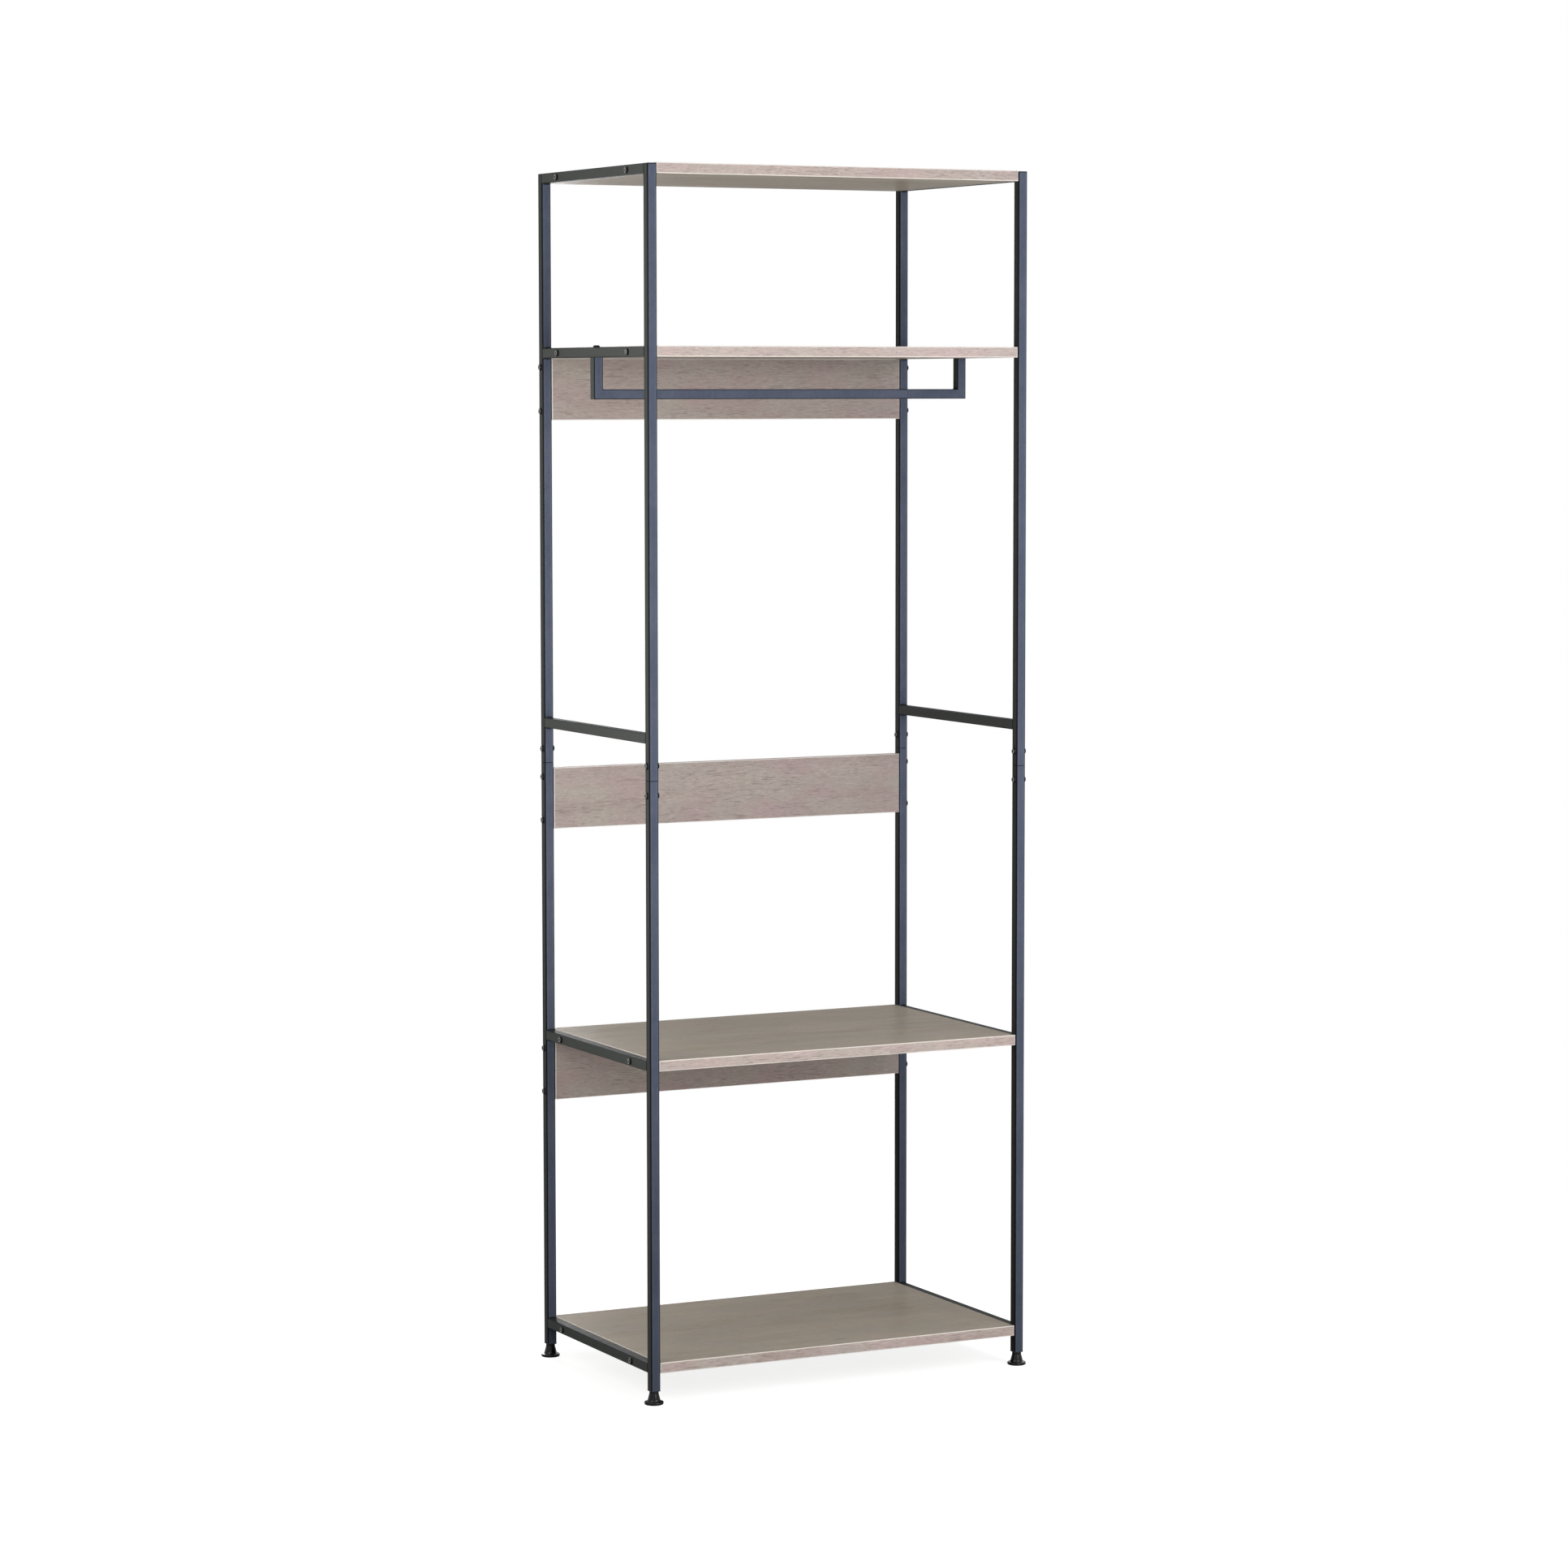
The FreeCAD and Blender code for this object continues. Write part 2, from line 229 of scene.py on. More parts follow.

# Both edges of a post's face have a dark rim of painted shade, and beside it a painted stripe that
# is a highlight on the front and shade on the sides. There is none where the bar's corners lie
# between the posts.
off_post = sized(tree, calc(tree, "SUBTRACT", sized(tree, y), post_y))
off_centre = either(tree, sideways, off_frame, off_post)
off_bar = sized(tree, calc(tree, "SUBTRACT", z, (bar_low.z + bar_high.z) / 2))
on_bar = product(tree, calc(tree, "LESS_THAN", off_bar, FACE_REACH),
                 calc(tree, "LESS_THAN", sized(tree, y), FACE_REACH + 0.4 * MM),
                 calc(tree, "LESS_THAN", sized(tree, x), frame_x))
on_post = calc(tree, "LESS_THAN", off_centre, FACE_REACH)
on_post = calc(tree, "SUBTRACT", on_post, on_bar, clamp=True)
rim = product(tree, spread(tree, off_centre, *RIM), on_post)
stripe = product(tree, spread(tree, off_centre, *STRIPE), calc(tree, "SUBTRACT", on_post, rim),
                 spread(tree, sideways, 0.0, 1.0, 0.16, -0.25))

# Painted shade: a post is darker on its sides and towards the floor, and faces that look inwards
# are darkest.
post_side_shade = product(tree, on_post, sideways)
strength = calc(tree, "ADD", stripe, calc(tree, "MULTIPLY_ADD", post_side_shade, -0.20, 1.0))
# Painted shade on faces that look inwards, towards the rack's middle.
inward = calc(tree, "LESS_THAN", product(tree, facing[0], x), -0.15)
strength = product(tree, strength, spread(tree, z, 0.05, 0.75, 0.70, 1.0),
                   calc(tree, "MULTIPLY_ADD", inward, -0.5, 1.0))
colour = shaded(tree, colour, strength)
# Painted shade along the rims at the post's edges.
colour = mixed(tree, product(tree, rim, 0.72), colour, SLATE_EDGE_SHADE)
# Painted shade: a dark line just below the top of the frames, on their front and back faces.
top_shade_line = spread(tree, z, post_high.z - TOP_LINE[0], post_high.z - TOP_LINE[1])
colour = mixed(tree, product(tree, top_shade_line, endways, 0.85), colour, SLATE_EDGE_SHADE)
orange_peel = noise(tree, place, 620.0, 2.0, 0.45)
sheen = calc(tree, "MULTIPLY_ADD", marks, -0.07, spread(tree, orange_peel, 0.3, 0.7, 0.44, 0.52))
complete(tree, shader, colour, sheen, orange_peel, 0.12 * MM)

for side in SIDES:
    for name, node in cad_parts.items():
        if name.startswith(("front_" + side, "back_" + side)) and name.endswith("_post") or (
                name.startswith(side) and name.endswith("_rail")):
            node.data.materials[0] = powder_coat


def new_piece(name, mesh_points, mesh_faces, finish, smooth=None):
    """Mesh object with one finish, its faces turned outwards, smooth below an angle in degrees."""
    mesh = bpy.data.meshes.new(name)
    mesh.from_pydata([tuple(point) for point in mesh_points], [], mesh_faces)
    shape = bmesh.new()
    shape.from_mesh(mesh)
    bmesh.ops.recalc_face_normals(shape, faces=shape.faces)
    if smooth is not None:
        for face in shape.faces:
            face.smooth = True
        for edge in shape.edges:
            if len(edge.link_faces) == 2 and edge.calc_face_angle(0.0) > math.radians(smooth):
                edge.smooth = False
    shape.to_mesh(mesh)
    shape.free()
    piece = bpy.data.objects.new(name, mesh)
    bpy.context.scene.collection.objects.link(piece)
    mesh.materials.append(finish)
    return piece


def add_loft(points, faces, rings):
    """Closed skin over rings with as many points each, with a flat face at both ends."""
    start = len(points)
    count = len(rings[0])
    for ring in rings:
        points.extend(ring)
    for number in range(len(rings) - 1):
        low = start + number * count
        for step in range(count):
            after = (step + 1) % count
            faces.append((low + step, low + after, low + count + after, low + count + step))
    faces.append(tuple(start + step for step in reversed(range(count))))
    faces.append(tuple(start + (len(rings) - 1) * count + step for step in range(count)))


WELD_LEG = 2.3 * MM
WELD_STEPS = 26
WELD_ROOT = 0.25 * MM
WELD_ARC_STEPS = 5


def add_weld(points, faces, corner, along, first, second, length, leg, seed):
    """Hollow-faced weld bead in an inner corner, rippled along its run and tapering at its ends."""
    rings = []
    for step in range(WELD_STEPS + 1):
        share = step / WELD_STEPS
        centre = corner + along * length * (share - 0.5)
        taper = math.sin(math.pi * min(1.0, 0.12 + 4 * min(share, 1 - share)) / 2)
        ripple = 1 + 0.09 * math.sin(share * 44 + seed) + 0.05 * math.sin(share * 15 + 2.4 * seed)
        size = leg * taper * ripple
        ring = [centre - (first + second) * WELD_ROOT, centre + first * size - second * WELD_ROOT]
        for arc in range(WELD_ARC_STEPS + 1):
            angle = math.pi / 2 * arc / WELD_ARC_STEPS
            ring.append(centre + first * size * (1 - 0.8 * math.sin(angle))
                        + second * size * (1 - 0.8 * math.cos(angle)))
        ring.append(centre + second * size - first * WELD_ROOT)
        rings.append(ring)
    add_loft(points, faces, rings)


UP = Vector((0, 0, 1))
ACROSS = Vector((1, 0, 0))
WELDED_RAILS = ["upper_shelf_rail", "middle_rail", "lower_shelf_rail", "bottom_shelf_rail"]
for side, outward in SIDES.items():
    points = []
    faces = []
    seed = 0.7 * outward
    for rail in WELDED_RAILS:
        low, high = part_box(side + "_" + rail)
        middle = (low.x + high.x) / 2
        flat = high.x - low.x - 2 * TUBE_CORNER
        for end, backward in ENDS.items():
            inward = Vector((0, -backward, 0))
            reach = high.y if end == "back" else low.y
            for level, face_up in ((high.z, UP), (low.z, -UP)):
                seed += 1.3
                add_weld(points, faces, Vector((middle, reach, level)), ACROSS, inward, face_up,
                         flat, WELD_LEG, seed)
    low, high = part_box(side + "_top_rail")
    for end, backward in ENDS.items():
        inner = (high.y if end == "back" else low.y) - backward * (high.z - low.z)
        seed += 1.3
        add_weld(points, faces, Vector(((low.x + high.x) / 2, inner, low.z)), ACROSS,
                 Vector((0, -backward, 0)), -UP, high.x - low.x - 2 * TUBE_CORNER, WELD_LEG, seed)
    welds = new_piece(side + "_frame_welds", points, faces, powder_coat, smooth=50)
    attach(welds, "rack")


# Splices: short square steel connectors, blackened, that slide into the ends of an upper and a
# lower post and join the halves of each side frame. Their thin collar shows as a dark line.

dull_black, tree, shader = new_finish("dull_black_steel", Specular_IOR_Level=0.03)
place = local_place(tree)
marks = effect(tree, wiped_marks, {"Place": place, "Size": 120.0})["Marks"]
scratches = noise(tree, stretched(tree, place, (1400.0, 1400.0, 90.0)), 1.0, 2.0)
colour = mixed(tree, marks, (0.005, 0.005, 0.006, 1.0), (0.012, 0.012, 0.014, 1.0))
scratched = spread(tree, scratches, 0.60, 0.72, 0.0, 0.5)
colour = mixed(tree, scratched, colour, (0.050, 0.050, 0.054, 1.0))
complete(tree, shader, colour, spread(tree, marks, 0.0, 1.0, 0.55, 0.68), scratches, 0.02 * MM)
for end in ENDS:
    for side in SIDES:
        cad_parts[end + "_" + side + "_splice"].data.materials[0] = dull_black


# Levelling feet: a ribbed plastic plug closes the end of each post. A steel stud screws up into
# it, and a flared glide of glossy black plastic is moulded round the stud's lower end.

zinc, tree, shader = new_finish("zinc_plated_steel", Metallic=1.0)
place = local_place(tree)
brushed = noise(tree, stretched(tree, place, (900.0, 900.0, 60.0)), 1.0, 3.0)
marks = effect(tree, wiped_marks, {"Place": place, "Size": 60.0})["Marks"]
colour = mixed(tree, marks, (0.42, 0.43, 0.45, 1.0), (0.62, 0.62, 0.60, 1.0))
complete(tree, shader, colour, spread(tree, brushed, 0.3, 0.7, 0.26, 0.44), brushed, 0.03 * MM)

plug_plastic, tree, shader = new_finish("plug_plastic", Specular_IOR_Level=0.4)
place = local_place(tree)
grainy = noise(tree, place, 1500.0, 2.0)
marks = effect(tree, wiped_marks, {"Place": place, "Size": 80.0})["Marks"]
colour = mixed(tree, marks, (0.012, 0.013, 0.015, 1.0), (0.024, 0.025, 0.028, 1.0))
complete(tree, shader, colour, spread(tree, grainy, 0.3, 0.7, 0.45, 0.6), grainy, 0.06 * MM)

glide_plastic, tree, shader = new_finish("glide_plastic", Specular_IOR_Level=0.22)
place = local_place(tree)
height_on_glide = parts_of(tree, place)[2]
marks = effect(tree, wiped_marks, {"Place": place, "Size": 70.0})["Marks"]
scuffs = noise(tree, stretched(tree, place, (90.0, 90.0, 700.0)), 1.0, 3.0, 0.6)
low_down = spread(tree, height_on_glide, 0.006, 0.001)
scuffed = product(tree, low_down, spread(tree, scuffs, 0.48, 0.62))
colour = mixed(tree, marks, (0.003, 0.003, 0.004, 1.0), (0.007, 0.007, 0.009, 1.0))
colour = mixed(tree, product(tree, scuffed, 0.5), colour, (0.040, 0.040, 0.040, 1.0))
gloss = calc(tree, "MULTIPLY_ADD", scuffed, 0.3, spread(tree, marks, 0.0, 1.0, 0.11, 0.18))
complete(tree, shader, colour, gloss, scuffs, 0.05 * MM)


def add_turned(points, faces, axis_foot, outline, segments):
    """Solid turned round an upright axis, from a closed outline of radii and heights."""
    start = len(points)
    rows = len(outline)
    for radius, level in outline:
        for number in range(segments):
            turn = 2 * math.pi * number / segments
            spot = Vector((radius * math.cos(turn), radius * math.sin(turn), level))
            points.append(axis_foot + spot)
    for row in range(rows):
        below = start + row * segments
        above = start + (row + 1) % rows * segments
        for number in range(segments):
            after = (number + 1) % segments
            faces.append((below + number, below + after, above + after, above + number))


def rounded(centre, radius, first, last, steps):
    """Points of a rounding in an outline, from one angle to another in degrees."""
    points = []
    for step in range(steps + 1):
        turn = math.radians(first + (last - first) * step / steps)
        points.append((centre[0] + radius * math.cos(turn), centre[1] + radius * math.sin(turn)))
    return points


THREAD_PITCH = 1.0 * MM
THREAD_DEPTH = 0.55 * MM
THREAD_ROWS = 8
THREAD_SEGMENTS = 24
STUD_BEVEL = 0.8 * MM


def add_threaded_rod(points, faces, axis_foot, radius, length, thread_from):
    """Upright rod, plain at first and threaded above a height, with a bevelled tip."""
    rows = [0.0, thread_from - THREAD_PITCH]
    count = int((length - thread_from) / THREAD_PITCH * THREAD_ROWS)
    rows += [thread_from + (length - thread_from) * step / count for step in range(count + 1)]
    rings = []
    for level in rows:
        ring = []
        for number in range(THREAD_SEGMENTS):
            turn = number / THREAD_SEGMENTS
            phase = (level / THREAD_PITCH - turn) % 1.0
            groove = THREAD_DEPTH * min(1.0, max(0.0, 1.15 - 2.6 * abs(phase - 0.5)))
            reach = radius - (groove if level >= thread_from else 0.0)
            reach = min(reach, radius - STUD_BEVEL + (length - level))
            angle = 2 * math.pi * turn
            spot = Vector((reach * math.cos(angle), reach * math.sin(angle), level))
            ring.append(axis_foot + spot)
        rings.append(ring)
    add_loft(points, faces, rings)


GLIDE_SEGMENTS = 96
STUD_RADIUS = 3.0 * MM
STUD_SEAT = 12.0 * MM
# Radii and heights: the hollow underside, the flared rim, the cone and the collar at its top.
glide_outline = [(STUD_RADIUS, 8.0 * MM), (STUD_RADIUS, 5.0 * MM)]
glide_outline += [(8.2 * MM, 0.9 * MM), (8.8 * MM, 0.5 * MM), (9.6 * MM, 0.0), (12.6 * MM, 0.0)]
glide_outline += rounded((12.7 * MM, 1.8 * MM), 1.8 * MM, -85, 0, 7)
glide_outline += rounded((13.1 * MM, 3.2 * MM), 1.4 * MM, 0, 78, 7)
glide_outline += rounded((12.6 * MM, 7.6 * MM), 3.0 * MM, 268, 212, 6)
glide_outline += [(9.25 * MM, 8.2 * MM), (8.5 * MM, 11.0 * MM)]
glide_outline += [(7.75 * MM, 14.0 * MM), (7.15 * MM, 16.4 * MM)]
glide_outline += rounded((7.3 * MM, 16.9 * MM), 0.35 * MM, 230, 150, 3)
glide_outline += rounded((6.35 * MM, 17.6 * MM), 0.7 * MM, -40, 0, 3)
glide_outline += rounded((6.25 * MM, 19.2 * MM), 0.8 * MM, 0, 90, 5)
glide_outline += [(STUD_RADIUS + 0.3 * MM, 20.0 * MM), (STUD_RADIUS, 19.8 * MM)]

for end in ENDS:
    for side in SIDES:
        foot = end + "_" + side + "_foot"
        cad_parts[foot + "_plug"].data.materials[0] = plug_plastic
        low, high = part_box(foot + "_pad")
        axis_foot = Vector(((low.x + high.x) / 2, (low.y + high.y) / 2, low.z))

        points = []
        faces = []
        add_turned(points, faces, axis_foot, glide_outline, GLIDE_SEGMENTS)
        glide = new_piece(foot + "_glide", points, faces, glide_plastic, smooth=40)
        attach(glide, foot)
        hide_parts(foot + "_pad")

        low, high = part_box(foot + "_stud")
        points = []
        faces = []
        add_threaded_rod(points, faces, Vector((axis_foot.x, axis_foot.y, low.z)), STUD_RADIUS,
                         high.z - low.z, STUD_SEAT)
        stud = new_piece(foot + "_threaded_stud", points, faces, zinc, smooth=70)
        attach(stud, foot)
        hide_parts(foot + "_stud")


# Shelves: four 16 mm chipboards with a printed grey oak laminate on both faces. They lie between
# the side frames, a millimetre proud of their rails, and hide threaded inserts in their ends.

printed_oak, given, result = new_effect(
    "printed_oak",
    {"Place": ("Vector", None), "Pale": ("Color", None), "Dark": ("Color", None),
     "Pink": ("Color", None), "Grey": ("Color", None), "Contrast": ("Float", 1.0),
     "Dashes": ("Float", 1.0)},
    {"Colour": "Color", "Roughness change": "Float", "Relief": "Float"})


def moved(tree, place, step):
    """Place shifted by a step, so that two noises at one place differ."""
    return add(tree, "VectorMath", {0: place, 1: step}, operation="ADD").outputs[0]


def streaks(tree, place, along, across, detail=1.0, roughness=0.5):
    """Noise drawn out along the grain, from its fineness along and across it."""
    return noise(tree, stretched(tree, place, (along, across, across)), 1.0, detail, roughness)


# The grain wanders by some millimetres, with a small dark knot here and there.
flat_place = given["Place"]
SWAY = 0.030
sway = calc(printed_oak, "SUBTRACT", streaks(printed_oak, flat_place, 3.2, 11.0, 3.0), 0.5)
sway = product(printed_oak, sway, SWAY)
shift = add(printed_oak, "CombineXYZ", {0: 0.0, 1: sway, 2: sway}).outputs[0]
bent = moved(printed_oak, flat_place, shift)
cells = stretched(printed_oak, bent, (5.0, 15.0, 15.0))
knots = add(printed_oak, "TexVoronoi", {"Vector": cells, "Scale": 1.0})
knot = spread(printed_oak, knots.outputs["Distance"], 0.070, 0.015)

# Dark dashes in groups, pale dashes and pale specks, from one to fifteen millimetres long.
long_dashes = streaks(printed_oak, bent, 42.0, 640.0)
short_dashes = streaks(printed_oak, moved(printed_oak, bent, (3.1, 1.7, 2.3)), 88.0, 820.0)
pale_dashes = streaks(printed_oak, moved(printed_oak, bent, (7.9, 4.3, 5.1)), 66.0, 700.0)
grouped = spread(printed_oak, streaks(printed_oak, bent, 11.0, 52.0), 0.38, 0.60, 0.1, 1.0)
long_dashes = product(printed_oak, spread(printed_oak, long_dashes, 0.57, 0.68), grouped)
short_dashes = spread(printed_oak, short_dashes, 0.57, 0.67)
dashes = calc(printed_oak, "MULTIPLY_ADD", short_dashes, 0.6, long_dashes, clamp=True)
dashes = product(printed_oak, dashes, given["Dashes"])
specks = spread(printed_oak, streaks(printed_oak, flat_place, 360.0, 430.0, 2.0), 0.60, 0.70)
gleams = calc(printed_oak, "MAXIMUM", spread(printed_oak, pale_dashes, 0.57, 0.70), specks)
gleams = product(printed_oak, gleams, given["Dashes"])

# The tone between dark and pale follows broad bands, fine lines and fibres.
bands = streaks(printed_oak, bent, 1.8, 26.0, 3.0)
lines = streaks(printed_oak, bent, 9.0, 300.0, 3.0, 0.6)
fibres = streaks(printed_oak, flat_place, 90.0, 700.0, 2.0)
tone = calc(printed_oak, "MULTIPLY_ADD", lines, 0.20, product(printed_oak, bands, 0.45))
tone = calc(printed_oak, "MULTIPLY_ADD", fibres, 0.35, tone)
tone = product(printed_oak, calc(printed_oak, "SUBTRACT", tone, 0.5), given["Contrast"])
tone = calc(printed_oak, "MULTIPLY_ADD", tone, 3.2, 0.5, clamp=True)
colour = mixed(printed_oak, tone, given["Dark"], given["Pale"])

# Clouds of pink and grey, a hand's breadth long, lie over the tone, and the dashes over both.
pink_cloud = streaks(printed_oak, flat_place, 7.0, 17.0, 3.0)
grey_cloud = streaks(printed_oak, moved(printed_oak, flat_place, (2.7, 6.1, 3.9)), 9.0, 21.0, 3.0)
pink_cloud = spread(printed_oak, pink_cloud, 0.42, 0.60, 0.0, 0.85)
grey_cloud = spread(printed_oak, grey_cloud, 0.44, 0.60, 0.0, 0.85)
colour = mixed(printed_oak, pink_cloud, colour, given["Pink"])
colour = mixed(printed_oak, grey_cloud, colour, given["Grey"])
shade = calc(printed_oak, "MULTIPLY_ADD", dashes, -0.30, 1.0)
shade = calc(printed_oak, "MULTIPLY_ADD", gleams, 0.17, shade)
shade = product(printed_oak, shade, calc(printed_oak, "MULTIPLY_ADD", knot, -0.35, 1.0))
relief = calc(printed_oak, "MULTIPLY_ADD", dashes, -0.6, product(printed_oak, fibres, 0.4))
printed_oak.links.new(shaded(printed_oak, colour, shade), result[0])
printed_oak.links.new(product(printed_oak, dashes, 0.12), result[1])
printed_oak.links.new(relief, result[2])


def laminate(name, colours, contrast, dashes, roughness, specular):
    """Laminate with the oak print, its grain along the width of the rack."""
    finish, tree, shader = new_finish(name, Specular_IOR_Level=specular)
    place = local_place(tree)
    settings = {"Place": place, "Contrast": contrast, "Dashes": dashes, **colours}
    grain = effect(tree, printed_oak, settings)
    marks = effect(tree, wiped_marks, {"Place": place, "Size": 7.0})["Marks"]
    satin = calc(tree, "ADD", spread(tree, marks, 0.0, 1.0, roughness, roughness + 0.06), grain[1])
    complete(tree, shader, grain[0], satin, grain[2], 0.08 * MM)
    return finish


SHELF_PRINT = {"Pale": (0.403, 0.352, 0.290, 1.0), "Dark": (0.269, 0.229, 0.184, 1.0),
               "Pink": (0.366, 0.310, 0.260, 1.0), "Grey": (0.334, 0.298, 0.251, 1.0)}
shelf_laminate = laminate("shelf_laminate", SHELF_PRINT, 1.05, 0.45, 0.32, 0.003)
for name in ("top_shelf", "upper_shelf", "lower_shelf", "bottom_shelf"):
    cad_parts[name].data.materials[0] = shelf_laminate
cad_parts["shelf_inserts"].data.materials[0] = zinc


# Back panels: three strips of the same board on edge, bolted between the back posts to stiffen
# the rack. Their upright faces show the print strongly, with short dark dashes along the grain.

PANEL_PRINT = {"Pale": (0.458, 0.386, 0.361, 1.0), "Dark": (0.281, 0.226, 0.209, 1.0),
               "Pink": (0.385, 0.302, 0.293, 1.0), "Grey": (0.382, 0.339, 0.308, 1.0)}
panel_laminate = laminate("panel_laminate", PANEL_PRINT, 0.65, 0.95, 0.44, 0.04)
for name in ("upper_back_panel", "middle_back_panel", "lower_back_panel"):
    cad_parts[name].data.materials[0] = panel_laminate
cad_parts["panel_inserts"].data.materials[0] = zinc


# Edging: one millimetre plastic strips glued round every board, printed like the laminate but
# paler. Their rounded outer arrises carry a pale painted highlight.

EDGING = 1.0 * MM
ARRIS_WIDTH = 1.8 * MM
ARRIS_DEPTH = 0.9 * MM
ARRIS_STEPS = 6
EDGING_PRINT = {"Pale": (0.552, 0.460, 0.430, 1.0), "Dark": (0.352, 0.272, 0.250, 1.0),
                "Pink": (0.495, 0.384, 0.372, 1.0), "Grey": (0.457, 0.394, 0.363, 1.0)}
ARRIS_HIGHLIGHT = (0.86, 0.81, 0.75, 1.0)
edging_finish, tree, shader = new_finish("edging_plastic", Specular_IOR_Level=0.1)
x, y, z = parts_of(tree, local_place(tree))
on_end = calc(tree, "GREATER_THAN", sized(tree, local_facing(tree)[0]), 0.7)
along = either(tree, on_end, x, y)
over = either(tree, on_end, y, x)
run = add(tree, "CombineXYZ", {0: along, 1: over, 2: z}).outputs[0]
grain = effect(tree, printed_oak, {"Place": run, "Contrast": 1.0, "Dashes": 1.1, **EDGING_PRINT})
# A pale painted highlight on the rounded outer arrises.
arris = effect(tree, rounded_arris, {"Sharpness": 0.35})["Arris"]
colour = mixed(tree, arris, grain[0], ARRIS_HIGHLIGHT)
complete(tree, shader, colour, calc(tree, "ADD", grain[1], 0.42), grain[2], 0.06 * MM)


def add_strip(points, faces, low, high, outer_axis, outer_sign, ends_too):
    """One strip of edging, its outer arrises rounded wider over the face than into the strip."""
    middle = (low + high) / 2
    size = high - low
    outer = middle[outer_axis] + outer_sign * size[outer_axis] / 2
    stretch = ARRIS_WIDTH / ARRIS_DEPTH
    lengthwise = max(range(3), key=lambda axis: size[axis])
    strip = bmesh.new()
    for vert in bmesh.ops.create_cube(strip, size=1.0)["verts"]:
        vert.co = Vector(middle[axis] + vert.co[axis] * size[axis] for axis in range(3))
        vert.co[outer_axis] = outer + (vert.co[outer_axis] - outer) * stretch
    rounded_edges = []
    for edge in strip.edges:
        ends = [vert.co for vert in edge.verts]
        runs_long = abs(ends[0][lengthwise] - ends[1][lengthwise]) > MM
        if all(abs(end[outer_axis] - outer) < 1e-7 for end in ends) and (ends_too or runs_long):
            rounded_edges.append(edge)
    bmesh.ops.bevel(strip, geom=rounded_edges, offset=ARRIS_WIDTH, segments=ARRIS_STEPS,
                    profile=0.5, affect="EDGES")
    strip.verts.index_update()
    start = len(points)
    for vert in strip.verts:
        vert.co[outer_axis] = outer + (vert.co[outer_axis] - outer) / stretch
        points.append(vert.co.copy())
    for face in strip.faces:
        faces.append(tuple(start + vert.index for vert in face.verts))
    strip.free()


BOARDS = ["top_shelf", "upper_shelf", "lower_shelf", "bottom_shelf",
          "upper_back_panel", "middle_back_panel", "lower_back_panel"]
for name in BOARDS:
    low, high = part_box(name + "_edging")
    breadth_axis = 2 if name.endswith("panel") else 1
    points = []
    faces = []
    for sign in (-1, 1):
        strip_low = low.copy()
        strip_high = high.copy()
        inner_low = low.copy()
        inner_high = high.copy()
        inner_low[breadth_axis] += EDGING
        inner_high[breadth_axis] -= EDGING
        if sign < 0:
            strip_high[breadth_axis] = low[breadth_axis] + EDGING
            inner_high.x = low.x + EDGING
        else:
            strip_low[breadth_axis] = high[breadth_axis] - EDGING
            inner_low.x = high.x - EDGING
        add_strip(points, faces, strip_low, strip_high, breadth_axis, sign, True)
        add_strip(points, faces, inner_low, inner_high, 0, sign, False)
    strips = new_piece(name + "_edge_strips", points, faces, edging_finish, smooth=35)
    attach(strips, "rack")
    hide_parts(name + "_edging")


# Screws: blackened M6 button heads with hex sockets, their crowns worn pale round the socket,
# a pale ring that is also a painted highlight.
# Long ones run through the side frames into the inserts of the boards, and short ones pin the
# splices from the outer and the inner side of the posts.

HEAD_RADIUS = 5.25 * MM
HEAD_HEIGHT = 3.3 * MM
HEAD_RIM = 0.55 * MM
HEAD_BEVEL = 0.15 * MM
CROWN_RADIUS = 3.2 * MM
CROWN_STEPS = 8
SOCKET_ACROSS_FLATS = 4.0 * MM
SOCKET_DEPTH = 2.0 * MM
SOCKET_MOUTH = 2.75 * MM
SOCKET_POINT = 1.2 * MM
SHANK_RADIUS = 3.0 * MM
HEAD_SEGMENTS = 48
SCREW_TIP = 0.8 * MM
WORN_STEEL_AND_HIGHLIGHT = (0.54, 0.54, 0.53, 1.0)

black_steel, tree, shader = new_finish("blackened_steel", Specular_IOR_Level=0.08)
place = local_place(tree)
marks = effect(tree, wiped_marks, {"Place": place, "Size": 160.0})["Marks"]
# Pale worn steel round the socket, which is also a painted highlight.
worn = add(tree, "Attribute", {}, attribute_name="wear_and_highlight").outputs["Fac"]
chips = spread(tree, noise(tree, place, 1300.0, 2.0), 0.35, 0.55)
worn = product(tree, worn, chips)
colour = mixed(tree, marks, (0.004, 0.004, 0.005, 1.0), (0.010, 0.010, 0.011, 1.0))
colour = mixed(tree, worn, colour, WORN_STEEL_AND_HIGHLIGHT)
complete(tree, shader, colour, spread(tree, marks, 0.0, 1.0, 0.20, 0.30), chips, 0.02 * MM)


